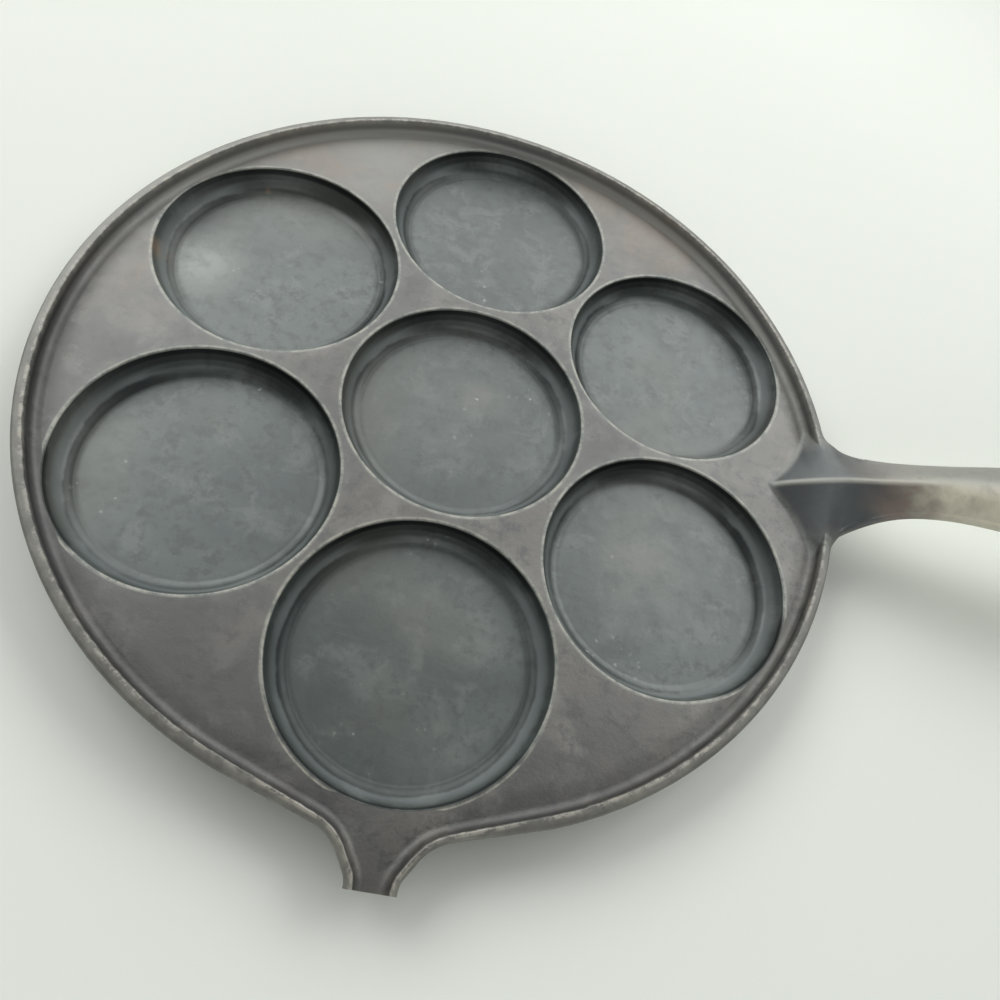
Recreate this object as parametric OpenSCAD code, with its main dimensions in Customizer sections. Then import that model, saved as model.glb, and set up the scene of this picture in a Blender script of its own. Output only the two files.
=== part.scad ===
// Seven-well pancake pan with a long handle and a narrow pouring beak.
// The real pan is one iron casting. It is drawn here as the regions of that casting,
// each a closed solid that meets its neighbours face to face.
// X runs along the handle, Z is up, and the origin is the middle of the base,
// on the plane of the seven flat well undersides.

/* [Wells] */
// Radius of an outer well at its lip
well_r = 38.1; // [34:0.1:42]
// How much smaller the centre well is, in radius
centre_less = 0.4; // [0:0.1:1.5]
// Gap between the lips of two neighbouring wells
well_gap = 2.9; // [2.4:0.1:5]
// Depth of a well below the deck
well_depth = 7.5; // [6.8:0.1:10]
// Slope of a well's wall, in degrees from upright
well_draft = 25; // [15:1:30]
// Radius of the hollow corner between a well's wall and its floor
well_fillet = 4.5; // [3:0.1:5.2]
// Radius of the round on a well's lip
lip_round = 0.6; // [0.3:0.05:0.8]
// Thickness of a well's floor
well_floor_t = 3.3; // [2.5:0.1:4.5]
// Radius of the outer corner under a well
foot_round = 5; // [2:0.1:6]

/* [Deck and rim] */
// Thickness of the deck between the wells
deck_t = 3.6; // [2.8:0.1:4.5]
// Width of the deck strip between an outer well and the rim's top edge
rim_strip = 2.4; // [2.1:0.1:5]
// Height of the rim above the deck
rim_h = 5.1; // [4.4:0.1:6.5]
// Thickness of the rim at its top
rim_t = 3; // [2.8:0.1:4]
// Slope of the rim's inner face, in degrees from upright
rim_draft = 8; // [3:1:12]
// Radius of the hollow corner between the deck and the rim
rim_fillet = 2.4; // [1.6:0.1:2.8]
// How far the rim's outer face leans in from top to bottom
rim_lean = 1.5; // [0.5:0.1:2]

/* [Pouring beak] */
// Half angle at which the sides of the beak leave the rim's circle
beak_angle = 19; // [17:0.5:22]
// Angle to which the sides turn before they run out
beak_turn = 57; // [50:1:62]
// Radius of that first turn, on the inner edge
beak_sweep_r = 15; // [12:0.5:17]
// Length of the straight stretch after the turn
beak_straight = 4; // [2:0.5:6]
// Radius of the last turn, which makes the sides parallel
beak_end_r = 8; // [6:0.5:10]
// Width of the open channel at the tip
beak_gap = 6; // [5.6:0.2:8]
// Thickness of the beak's side walls
beak_wall = 2.1; // [1.8:0.1:2.8]
// Height of the side walls at the tip
beak_tip_h = 4.1; // [3.4:0.1:5]

/* [Handle] */
// Length of the handle beyond the rim
handle_len = 127.4; // [120:0.2:150]
// Half angle of the rim that belongs to the handle's root
root_angle = 11.5; // [11:0.5:14]
// Radius of the handle's round end
handle_end_r = 14.4; // [13:0.1:15.5]
// Radius of the hole to hang the pan by
hang_hole_r = 5.5; // [4:0.1:6.5]
// Radius of the round along the handle's edges
handle_edge_r = 1.7; // [1:0.1:2]
// Width of the rounding along the handle's ridge, as a share of the half width
ridge_soft = 0.05; // [0.02:0.01:0.1]

/* [Hidden] */
$fn = 128;

outer_wells = 6;
// Width of the deck strip left between two neighbouring cups
bridge = 0.7;
well_ring_r = (2 * well_r + well_gap) / (2 * sin(180 / outer_wells));
cup_margin = (well_gap - bridge) / 2;
deck_z = well_floor_t + well_depth;
rim_in_r = well_ring_r + well_r + rim_strip;
rim_out_r = rim_in_r + rim_t;
// The rim's solid starts on a short flat stretch of deck inside its hollow corner
rim_foot = corner_u(rim_h, rim_fillet) - 0.4;
deck_r = rim_in_r + rim_foot;
top_round = 0.35;
shoulder_round = 1.1;
shoulder_drop = 0.3;
root_z = -deck_t / 2;
over = 1;

// Points of an arc from angle a0 to a1
function arc(cx, cy, r, a0, a1, n) =
    [for (i = [0 : n]) let (a = a0 + (a1 - a0) * i / n) [cx + r * cos(a), cy + r * sin(a)]];

// Distance inward from the rim's inner edge to the centre of its hollow corner
function corner_u(h, f) = -(h - f) * tan(rim_draft) - f / cos(rim_draft);

// Section of the rim above and below the deck: u is outward from its inner edge,
// z is up from the deck. The first and last points lie on the inner end face.
function rim_section(t, h, f) = concat(
    [[rim_foot, -deck_t]],
    arc(t - rim_lean - shoulder_round, shoulder_round - deck_t, shoulder_round, -90, -12, 3),
    arc(t - shoulder_round, h - shoulder_drop - shoulder_round, shoulder_round, 0, 90, 4),
    arc(top_round, h - top_round, top_round, 90, 180, 2),
    arc(corner_u(h, f), f, f, -rim_draft, -90, 6),
    [[rim_foot, 0]]);

// Radius at which a well's round lip meets the deck
function mouth_r(r) = r - lip_round * tan(well_draft) + lip_round / cos(well_draft);

// Half section of one cup, floor, hollow corner, sloping wall, lip and outside
function cup_section(r) =
    let (floor_r = r - (well_depth - well_fillet) * tan(well_draft) - well_fillet / cos(well_draft))
    concat(
        [[0, well_floor_t]],
        arc(floor_r, well_floor_t + well_fillet, well_fillet, -90, -well_draft, 8),
        arc(mouth_r(r), deck_z - lip_round, lip_round, 180 + well_draft, 90, 5),
        [[r + cup_margin, deck_z]],
        arc(r + cup_margin - foot_round, foot_round, foot_round, 0, -90, 7),
        [[0, 0]]);

module well_cup(r) {
    rotate_extrude() polygon(cup_section(r));
}

module outer_well_cup(i) {
    color("#3f4546") rotate(well_angle(i)) translate([well_ring_r, 0, 0]) well_cup(well_r);
}

function well_angle(i) = (i - 0.5) * 360 / outer_wells;

// Room for a cup and for its open mouth above it
module cup_room(r) {
    translate([0, 0, -over]) cylinder(h = deck_z + rim_h + 2 * over, r = r + cup_margin);
}

module outer_cup_rooms(first, last) {
    for (i = [first : last])
        rotate(well_angle(i)) translate([well_ring_r, 0, 0]) cup_room(well_r);
}

module deck_plate() {
    color("#5d5953") difference() {
        translate([0, 0, deck_z - deck_t]) cylinder(h = deck_t, r = deck_r);
        cup_room(well_r - centre_less);
        outer_cup_rooms(1, outer_wells);
    }
}

module rim_arc(from, to) {
    translate([0, 0, deck_z]) rotate(from) rotate_extrude(angle = to - from)
        translate([rim_in_r, 0]) polygon(rim_section(rim_t, rim_h, rim_fillet));
}

module rim_long_arc() {
    color("#6b6a5f") difference() {
        rim_arc(root_angle, 270 - beak_angle);
        outer_cup_rooms(1, 4);
    }
}

module rim_short_arc() {
    color("#6b6a5f") difference() {
        rim_arc(270 + beak_angle, 360 - root_angle);
        outer_cup_rooms(6, 6);
    }
}

// Plan of one side of the beak, as [x, y, heading] of the rim's inner edge,
// from the rim's circle to the tip. The tip's half gap and the turns fix the x values.
beak_x3 = beak_gap / 2 + beak_end_r * (1 - sin(beak_turn));
beak_x2 = beak_x3 + beak_straight * cos(beak_turn);
beak_x1 = beak_x2 + beak_sweep_r * (sin(beak_turn) - sin(beak_angle));
beak_x0 = rim_in_r * sin(beak_angle);
beak_y0 = -rim_in_r * cos(beak_angle);
beak_y1 = beak_y0 - (beak_x0 - beak_x1) * tan(beak_angle);
beak_y2 = beak_y1 - beak_sweep_r * (cos(beak_angle) - cos(beak_turn));
beak_y3 = beak_y2 - beak_straight * sin(beak_turn);
beak_side_steps = 6;
beak_path = concat(
    [for (i = [0 : beak_side_steps - 1]) let (k = i / beak_side_steps)
        [beak_x0 + (beak_x1 - beak_x0) * k, beak_y0 + (beak_y1 - beak_y0) * k, beak_angle]],
    [for (i = [0 : 7]) let (a = beak_angle + (beak_turn - beak_angle) * i / 7)
        [beak_x1 - beak_sweep_r * (sin(a) - sin(beak_angle)),
         beak_y1 - beak_sweep_r * (cos(beak_angle) - cos(a)), a]],
    [for (i = [0 : 6]) let (a = beak_turn + (90 - beak_turn) * i / 6)
        [beak_x3 - beak_end_r * (sin(a) - sin(beak_turn)),
         beak_y3 - beak_end_r * (cos(beak_turn) - cos(a)), a]]);
beak_last = len(beak_path) - 1;

// Where the beak's floor ends: along the deck's edge, then down the middle of the channel
function beak_floor_end(i) = i <= beak_side_steps
    ? let (a = 270 + beak_angle * (1 - i / beak_side_steps)) deck_r * [cos(a), sin(a)]
    : let (k = (i - beak_side_steps) / (beak_last - beak_side_steps))
        [0, -deck_r + (beak_path[beak_last][1] + deck_r) * k];

function beak_ring(i) =
    let (p = beak_path[i], n = [sin(p[2]), -cos(p[2])],
         k = min(1, i / beak_side_steps), m = max(0, (i - beak_side_steps) / (beak_last - beak_side_steps)),
         t = rim_t + (beak_wall - rim_t) * k, h = rim_h + (beak_tip_h - rim_h) * m,
         f = min(rim_fillet, rim_fillet + (beak_gap / 2 * 0.75 - rim_fillet) * m),
         s = rim_section(t, h, f), e = beak_floor_end(i), last = len(s) - 1)
    [for (j = [0 : last]) j == 0 || j == last
        ? [e[0], e[1], s[j][1]]
        : [p[0] + n[0] * s[j][0], p[1] + n[1] * s[j][0], s[j][1]]];

// A closed solid through rings of points, with a flat cap on the first and last
module loft(rings) {
    n = len(rings[0]);
    m = len(rings);
    polyhedron(
        [for (r = rings) each r],
        concat(
            [[for (j = [0 : n - 1]) j]],
            [for (i = [0 : m - 2], j = [0 : n - 1]) let (k = (j + 1) % n)
                each [[i * n + j, (i + 1) * n + j, (i + 1) * n + k],
                      [i * n + j, (i + 1) * n + k, i * n + k]]],
            [[for (j = [n - 1 : -1 : 0]) (m - 1) * n + j]]),
        convexity = 8);
}

module pour_beak() {
    color("#6b6a5f") difference() {
        translate([0, 0, deck_z]) for (side = [0, 1]) mirror([side, 0, 0])
            loft([for (i = [0 : beak_last]) beak_ring(i)]);
        outer_cup_rooms(5, 5);
    }
}

// The handle's form at stations along it. Each row holds the distance beyond the rim,
// the half width, the heights of edge, ridge and underside above the deck,
// how hollow the two roof slopes are, and how far they have become one round back.
handle_rows = [
    [-19.4,  0.4, -0.5, -0.3, root_z, 1.1, 0],
    [-16.5,  3.2, -0.4,  2.6, root_z, 1.1, 0],
    [-13.0,  7.6, -0.4,  5.3, root_z, 1.1, 0],
    [ -9.5, 13.6, -0.4,  7.8, root_z, 1.15, 0],
    [ -7.3, 19.0, -0.2,  9.2, root_z, 1.3, 0],
    [ -5.6, 20.4,  1.2, 10.2, root_z, 1.5, 0],
    [ -4.2, 20.6, rim_h - 0.5, 11.0, root_z, 1.6, 0],
    [ -1.8, 20.3, rim_h - 0.3, 12.3, root_z, 1.6, 0],
    [ -0.6, 18.4, rim_h + 0.1, 12.9, root_z, 1.55, 0],
    [  0.7, 16.5,  6.3, 13.6, root_z - 0.4, 1.5, 0],
    [  3.9, 14.1,  7.9, 15.3, 0.6, 1.35, 0],
    [  8.8, 12.1, 10.1, 17.7, 4.8, 1.15, 0],
    [ 15.0, 10.4, 13.3, 20.2, 9.0, 1, 0.1],
    [ 22.0,  9.7, 16.5, 22.7, 12.4, 1, 0.45],
    [ 32.0, 10.0, 19.8, 25.4, 15.8, 1, 1],
    [ 45.0, 11.5, 23.1, 28.0, 19.2, 1, 1],
    [ 60.0, 12.9, 26.0, 30.2, 22.2, 1, 1],
    [ 80.0, 14.2, 29.0, 32.3, 25.2, 1, 1],
    [100.0, 14.7, 31.0, 33.7, 27.2, 1, 1],
    [handle_len - handle_end_r, handle_end_r, 31.7, 34.1, 27.9, 1, 1],
    [handle_len, 3, 32.0, 33.2, 28.4, 1, 1]];

// Smooth value of one column at x, through the rows on both sides of it
function slope(t, i, c) = let (a = max(0, i - 1), b = min(len(t) - 1, i + 1))
    (t[b][c] - t[a][c]) / (t[b][0] - t[a][0]);
function row_at(t, x) = max([for (i = [0 : len(t) - 2]) t[i][0] <= x ? i : 0]);
function smooth(t, x, c) =
    let (i = row_at(t, x), w = t[i + 1][0] - t[i][0], s = (x - t[i][0]) / w)
    t[i][c] * (1 + 2 * s) * pow(1 - s, 2) + t[i + 1][c] * s * s * (3 - 2 * s)
    + w * (slope(t, i, c) * s * pow(1 - s, 2) - slope(t, i + 1, c) * s * s * (1 - s));

handle_end_x = handle_len - handle_end_r;
function handle_half_w(x) = x <= handle_end_x
    ? smooth(handle_rows, x, 1)
    : sqrt(max(0, pow(handle_end_r, 2) - pow(x - handle_end_x, 2)));

across = [1, 0.85, 0.7, 0.55, 0.4, 0.27, 0.16, 0.08, 0.03];
top_line = concat(across, [0], [for (i = [len(across) - 1 : -1 : 0]) -across[i]]);

// Height of the handle's back: two roof slopes that become one round back
function back(s, hollow, round_share) =
    let (soft = sqrt(1 + ridge_soft * ridge_soft) - ridge_soft,
         a = min(1, (sqrt(s * s + ridge_soft * ridge_soft) - ridge_soft) / soft))
    (1 - round_share) * pow(1 - a, hollow) + round_share * (1 - s * s);

function handle_ring(x) =
    let (w = handle_half_w(x), edge = smooth(handle_rows, x, 2), ridge = smooth(handle_rows, x, 3),
         under = smooth(handle_rows, x, 4), hollow = smooth(handle_rows, x, 5),
         share = min(1, max(0, smooth(handle_rows, x, 6))),
         q = min(handle_edge_r, (edge - under) * 0.45, w * 0.4), px = rim_out_r + x)
    concat(
        [for (s = top_line) [px, (w - q) * s, edge + (ridge - edge) * back(s, hollow, share)]],
        [for (p = arc(-(w - q), edge - q, q, 110, 180, 3)) [px, p[0], p[1]]],
        [for (p = arc(-(w - q), under + q, q, 180, 270, 3)) [px, p[0], p[1]]],
        [for (p = arc(w - q, under + q, q, 270, 360, 3)) [px, p[0], p[1]]],
        [for (p = arc(w - q, edge - q, q, 0, 70, 3)) [px, p[0], p[1]]]);

module handle_stretch(stations) {
    translate([0, 0, deck_z]) loft([for (x = stations) handle_ring(x)]);
}

neck_x = 8.8;
grip_x = 32;

module handle_root() {
    color("#4c4c4b") {
        difference() {
            handle_stretch([-19.4, -18, -16.5, -14.8, -13, -11.2, -9.5, -8.4, -7.3, -6.4, -5.6, -4.9,
                -4.2, -3, -1.8, -1.2, -0.6, 0, 0.7, 1.6, 2.7, 3.9, 5.3, 7, neck_x]);
            cylinder(h = deck_z, r = deck_r);
        }
        rim_arc(-root_angle, root_angle);
    }
}

module handle_neck() {
    color("#5f5a50") handle_stretch([neck_x, 11, 13, 15, 17.2, 19.5, 22, 24.5, 27, 29.5, grip_x]);
}

module handle_grip() {
    color("#8a8672") difference() {
        handle_stretch(concat(
            [for (i = [0 : 15]) grip_x + (handle_end_x - grip_x) * i / 16],
            [for (a = [0 : 7 : 84]) handle_end_x + handle_end_r * sin(a)]));
        translate([rim_out_r + handle_end_x, 0, 0])
            cylinder(h = deck_z + 50, r = hang_hole_r);
    }
}

deck_plate();
color("#3f4546") well_cup(well_r - centre_less);  // well_cup_centre
outer_well_cup(1);  // well_cup_1
outer_well_cup(2);  // well_cup_2
outer_well_cup(3);  // well_cup_3
outer_well_cup(4);  // well_cup_4
outer_well_cup(5);  // well_cup_5
outer_well_cup(6);  // well_cup_6
rim_long_arc();
rim_short_arc();
pour_beak();
handle_root();
handle_neck();
handle_grip();
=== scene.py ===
# %% [markdown]
# # A seven-well iron pancake pan
# The pan is one casting: a flat deck, seven shallow wells, a low rim with a narrow pouring
# beak, and a long handle whose ridge runs in over the rim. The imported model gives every
# region at its real size. Here each region gets a finer skin, because a glossy coat shows
# every facet, and then the iron gets its finish, a floor and soft light.

# %% Load the frame
import math

import bmesh
import bpy
from mathutils import Matrix, Vector, geometry, noise


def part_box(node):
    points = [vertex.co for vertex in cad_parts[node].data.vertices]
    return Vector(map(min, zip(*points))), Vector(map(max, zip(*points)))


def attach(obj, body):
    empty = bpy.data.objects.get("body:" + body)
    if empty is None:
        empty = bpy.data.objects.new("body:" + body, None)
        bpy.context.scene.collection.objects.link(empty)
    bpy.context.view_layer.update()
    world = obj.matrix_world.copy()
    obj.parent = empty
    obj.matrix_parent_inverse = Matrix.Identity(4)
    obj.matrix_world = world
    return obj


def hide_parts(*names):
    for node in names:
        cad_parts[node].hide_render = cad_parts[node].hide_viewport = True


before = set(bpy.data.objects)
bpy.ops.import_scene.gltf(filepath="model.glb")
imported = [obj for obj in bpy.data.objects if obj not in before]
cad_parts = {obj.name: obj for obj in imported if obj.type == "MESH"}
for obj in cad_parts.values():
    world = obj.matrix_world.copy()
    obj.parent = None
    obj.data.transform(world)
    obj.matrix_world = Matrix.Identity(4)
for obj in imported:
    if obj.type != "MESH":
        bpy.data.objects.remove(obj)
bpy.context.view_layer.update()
MM = 0.001

# %% [markdown]
# ## The sizes of the casting
# All lengths are millimetres in the pan's own frame: X along the handle, Z up, zero on the
# plane of the well undersides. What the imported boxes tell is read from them, so the skins
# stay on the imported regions. The small rounds and slopes are the pattern maker's choices.

# %% Read and name the sizes
def packed_box(name):
    low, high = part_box(name)
    return [v / MM for v in low], [v / MM for v in high]


def sin_d(a):
    return math.sin(math.radians(a))


def cos_d(a):
    return math.cos(math.radians(a))


def tan_d(a):
    return math.tan(math.radians(a))


cup_low, cup_high = packed_box("well_cup_centre")
deck_z = cup_high[2]
CUP_MARGIN = 1.1
centre_well_r = (cup_high[0] - cup_low[0]) / 2 - CUP_MARGIN
cup_low, cup_high = packed_box("well_cup_2")
well_r = (cup_high[0] - cup_low[0]) / 2 - CUP_MARGIN
well_ring_r = (cup_low[1] + cup_high[1]) / 2
rim_high = packed_box("rim_long_arc")[1]
rim_out_r = rim_high[1]
rim_h = rim_high[2] - deck_z
RIM_T, RIM_FILLET, RIM_LEAN, RIM_DRAFT = 3.0, 2.4, 1.5, 8.0
TOP_ROUND, SHOULDER_ROUND, SHOULDER_DROP = 0.35, 1.1, 0.3
rim_in_r = rim_out_r - RIM_T
deck_t = deck_z - packed_box("deck_plate")[0][2]
WELL_FLOOR_T, WELL_FILLET, WELL_DRAFT, LIP_ROUND, FOOT_ROUND = 3.3, 4.5, 25.0, 0.6, 5.0
mouth_extra = LIP_ROUND / cos_d(WELL_DRAFT) - LIP_ROUND * tan_d(WELL_DRAFT)
corner_u = -(rim_h - RIM_FILLET) * tan_d(RIM_DRAFT) - RIM_FILLET / cos_d(RIM_DRAFT)
FLAT_FOOT = 0.4
rim_foot = corner_u - FLAT_FOOT
deck_r = rim_in_r + rim_foot
ROOT_ANGLE, BEAK_ANGLE = 11.5, 19.0
handle_len = packed_box("handle_grip")[1][0] - rim_out_r
well_spots = [(0.0, 0.0)]
well_spots += [(well_ring_r * cos_d(a), well_ring_r * sin_d(a)) for a in range(30, 390, 60)]
well_sizes = [centre_well_r] + [well_r] * 6
sizes = {"deck": deck_z, "well": well_r, "centre well": centre_well_r, "ring of wells": well_ring_r}
sizes |= {"rim inside": rim_in_r, "rim outside": rim_out_r, "rim height": rim_h, "handle": handle_len}
for label, size in sizes.items():
    print(label, round(size, 2), "mm")

# %% [markdown]
# ## Camera
# The pan is seen from above its near edge, leaning a little to the left, and its handle
# runs out of the right side of the picture. The seven well circles fix such a view well:
# seven circles in one plane leave only one place for the camera.

# %% Set the camera
CAMERA_FROM_DECK = Vector((-14.12, -133.98, 194.84)) * MM
VIEW_RIGHT = Vector((0.96359643, 0.14527606, 0.22444772))
VIEW_UP = Vector((-0.23211973, 0.87116017, 0.43266661))
LENS_MM = 27.286
SENSOR_MM = 36

camera_at = CAMERA_FROM_DECK + Vector((0, 0, deck_z * MM))
camera_data = bpy.data.cameras.new("camera")
camera_data.sensor_width = SENSOR_MM
camera_data.lens = LENS_MM
camera_data.clip_start = 1 * MM
camera = bpy.data.objects.new("camera", camera_data)
turn = Matrix((VIEW_RIGHT, VIEW_UP, VIEW_RIGHT.cross(VIEW_UP))).transposed().to_4x4()
camera.matrix_world = Matrix.Translation(camera_at) @ turn
bpy.context.scene.collection.objects.link(camera)
bpy.context.scene.camera = camera
print("camera at", [round(v, 4) for v in camera_at])

# %% [markdown]
# ## Skins
# Nearly every skin below is a closed loft: rings of points that follow the form, joined by
# four-sided faces, with a cap on the first and the last ring. A loft suits a casting,
# because the pattern it was moulded from was turned, swept and drawn in the same way. The
# other choices would be solids cut by Booleans, or a modelled half with a mirror; both
# leave the slopes and hollow corners of a casting to bevels that don't follow its form.
# One fact rides along on each point: how far out it lies from the rim's inner edge. The
# finish uses it to place the wear on the rim, also where the beak leaves the circle.

# %% Define lofts and how to hang a skin in the frame
FAR = 30.0
WELD_MM, THIN_MM = 0.002, 0.001
CREASE, RIM_CREASE = 38.0, 30.0


def arc(cx, cy, r, a0, a1, steps):
    """Points of an arc in a section, angles in degrees."""
    turns = [a0 + (a1 - a0) * i / steps for i in range(steps + 1)]
    return [(cx + r * cos_d(t), cy + r * sin_d(t)) for t in turns]


def new_skin():
    bm = bmesh.new()
    bm.verts.layers.float.new("from_edge")
    return bm


def loft(bm, rings, wrap=False):
    """Joins rings of points; wrap joins the last ring to the first instead of capping both."""
    fact = bm.verts.layers.float["from_edge"]
    made = []
    for ring in rings:
        made.append([bm.verts.new(Vector(p[:3]) * MM) for p in ring])
        for vertex, p in zip(made[-1], ring):
            vertex[fact] = p[3] if len(p) > 3 else -FAR
    pairs = list(zip(made, made[1:]))
    if wrap:
        pairs.append((made[-1], made[0]))
    for one, two in pairs:
        for j in range(len(one)):
            k = (j + 1) % len(one)
            corners = [one[j], two[j], two[k], one[k]]
            if len({c.co.to_tuple(8) for c in corners}) > 2:
                bm.faces.new(corners)
    if not wrap:
        bm.faces.new(made[0])
        bm.faces.new(list(reversed(made[-1])))


def hang(bm, node, sharp=CREASE):
    """Turns a skin into the visible piece of one packed region."""
    bmesh.ops.remove_doubles(bm, verts=bm.verts, dist=WELD_MM * MM)
    bmesh.ops.dissolve_degenerate(bm, edges=bm.edges, dist=THIN_MM * MM)
    bmesh.ops.recalc_face_normals(bm, faces=bm.faces)
    open_edges = sum(1 for e in bm.edges if len(e.link_faces) != 2)
    data = bpy.data.meshes.new(node + "_skin")
    bm.to_mesh(data)
    bm.free()
    for face in data.polygons:
        face.use_smooth = True
    data.set_sharp_from_angle(angle=math.radians(sharp))
    piece = bpy.data.objects.new(node + "_skin", data)
    bpy.context.scene.collection.objects.link(piece)
    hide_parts(node)
    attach(piece, "root")
    print(node, "faces", len(data.polygons), "open edges", open_edges)
    return piece


# %% [markdown]
# ## The wells
# A well is a turned form: a flat floor, a hollow corner, a sloping wall and a small round
# lip. It could be a cylinder with bevels, but one turned section gives all of it with the
# right slopes. The floor gets a very slight unevenness, as sand-cast iron has, so that its
# sheen isn't that of glass. Where a cup's top would lie in one plane with the rim's foot,
# it is tucked under by a hair.

# %% Turn the seven cups
CUP_STEPS, FLOOR_RINGS = 180, 9
FLOOR_WAVE = 0.05
LIP_TUCK = 0.05


def floor_wave(x, y):
    """Unevenness of cast iron, in millimetres."""
    broad = noise.noise(Vector((x, y, 4.0)) * 0.045)
    fine = noise.noise(Vector((x, y, 9.0)) * 0.16)
    return FLOOR_WAVE * (broad + 0.35 * fine)


def cup_section(r):
    """Section of a cup, from the middle of its floor over the lip to the underside."""
    wall_h = deck_z - WELL_FLOOR_T - WELL_FILLET
    floor_r = r - wall_h * tan_d(WELL_DRAFT) - WELL_FILLET / cos_d(WELL_DRAFT)
    points = [(floor_r * i / FLOOR_RINGS, WELL_FLOOR_T) for i in range(FLOOR_RINGS)]
    points += arc(floor_r, WELL_FLOOR_T + WELL_FILLET, WELL_FILLET, -90, -WELL_DRAFT, 14)
    lip = arc(r + mouth_extra, deck_z - LIP_ROUND, LIP_ROUND, 180 + WELL_DRAFT, 90, 8)
    points.append(tuple((a + b) / 2 for a, b in zip(points[-1], lip[0])))
    points += lip
    points.append((r + CUP_MARGIN, deck_z))
    points += arc(r + CUP_MARGIN - FOOT_ROUND, FOOT_ROUND, FOOT_ROUND, 0, -90, 10)
    points.append((0.0, 0.0))
    return points, floor_r


def turn_cup(node, spot, r):
    section, floor_r = cup_section(r)
    outer_lip = r + CUP_MARGIN / 2 + mouth_extra / 2
    rings = []
    for i in range(CUP_STEPS):
        t = 2 * math.pi * i / CUP_STEPS
        ring = []
        for reach, z in section:
            x, y = spot[0] + reach * math.cos(t), spot[1] + reach * math.sin(t)
            if z == WELL_FLOOR_T and reach < floor_r:
                z += floor_wave(x, y) * (1 - (reach / floor_r) ** 4)
            if z == deck_z and reach > outer_lip and math.hypot(x, y) > deck_r:
                z -= LIP_TUCK
            ring.append((x, y, z))
        rings.append(ring)
    bm = new_skin()
    loft(bm, rings, wrap=True)
    return hang(bm, node)


wells = [turn_cup("well_cup_centre", well_spots[0], centre_well_r)]
wells += [turn_cup(f"well_cup_{i}", well_spots[i], well_r) for i in range(1, 7)]

# %% [markdown]
# ## The rim
# The rim is one section swept round: a hollow corner that rises from the deck, a steep
# inner wall, a nearly flat top and a round shoulder outside. Its inner top edge is the
# roughest line of the casting. So the sweep lets that edge wander by a few tenths of a
# millimetre. Where a well's mouth reaches into the hollow corner, the corner gives way.

# %% Sweep the two arcs of the rim
RIM_STEP = 0.5
EDGE_ROUGH = 0.16
EDGE_REACH = 0.9
mouth_r = well_r + mouth_extra


def rim_section(t, h, f, start, detail=3):
    """Section of the rim: u outward from its inner edge, z up from the deck."""
    corner = -(h - f) * tan_d(RIM_DRAFT) - f / cos_d(RIM_DRAFT)
    cut = start > corner
    last = -math.degrees(math.acos(min(1.0, (start - corner) / f))) if cut else -90.0
    points = [(start, -deck_t)]
    shoulder = (t - SHOULDER_ROUND, h - SHOULDER_DROP - SHOULDER_ROUND)
    foot = (t - SHOULDER_ROUND - RIM_LEAN, SHOULDER_ROUND - deck_t)
    points += arc(*foot, SHOULDER_ROUND, -90, -12, 2 * detail)
    points += arc(*shoulder, SHOULDER_ROUND, 0, 90, 2 * detail)
    points += arc(TOP_ROUND, h - TOP_ROUND, TOP_ROUND, 90, 180, detail)
    points += arc(corner, f, f, -RIM_DRAFT, last, 4 * detail)
    points.append((start, points[-1][1] if cut else 0.0))
    return points


def roughened(x, y, z, u, nx, ny, top, share=1.0):
    """A point of the rim, let wander where it lies by the worn edge; n points outward."""
    near_top = max(0.0, min(1.0, (z - top + 1.2) / 0.9)) * share
    jag = noise.noise(Vector((x, y, 0)) * 0.55) + 0.7 * noise.noise(Vector((x, y, 7)) * 1.5)
    wander = near_top * EDGE_ROUGH * jag
    inner = max(0.0, 1 - abs(u) / EDGE_REACH) * wander
    return (x + nx * inner, y + ny * inner, deck_z + z - max(0.0, wander) * 0.7, u)


def well_reach(angle):
    """How far out a well's mouth comes along a ray from the middle."""
    off = (angle - 30) % 60
    off = min(off, 60 - off)
    side = well_ring_r * sin_d(off)
    return 0.0 if side >= mouth_r else well_ring_r * cos_d(off) + math.sqrt(mouth_r**2 - side**2)


def rim_ring(angle):
    start = max(rim_foot, well_reach(angle) - rim_in_r)
    c, s = cos_d(angle), sin_d(angle)
    section = rim_section(RIM_T, rim_h, RIM_FILLET, start)
    return [roughened((rim_in_r + u) * c, (rim_in_r + u) * s, z, u, c, s, rim_h) for u, z in section]


def sweep_rim(node, first, last):
    count = round((last - first) / RIM_STEP)
    bm = new_skin()
    loft(bm, [rim_ring(first + (last - first) * i / count) for i in range(count + 1)])
    return hang(bm, node, RIM_CREASE)


rims = [
    sweep_rim("rim_long_arc", ROOT_ANGLE, 270 - BEAK_ANGLE),
    sweep_rim("rim_short_arc", 270 + BEAK_ANGLE, 360 - ROOT_ANGLE),
]

# %% [markdown]
# ## The deck
# The deck is a flat plate with seven round holes. Its outline crosses the outer wells, so a
# triangulation that respects all eight circles makes it at once. It also tells which of the
# circles each triangle lies in, and the deck is what lies in the large one alone.

# %% Cut the deck plate
DECK_STEPS = 720


def circle(x, y, r, steps):
    turns = [2 * math.pi * i / steps for i in range(steps)]
    return [Vector((x + r * math.cos(t), y + r * math.sin(t))) for t in turns]


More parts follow.
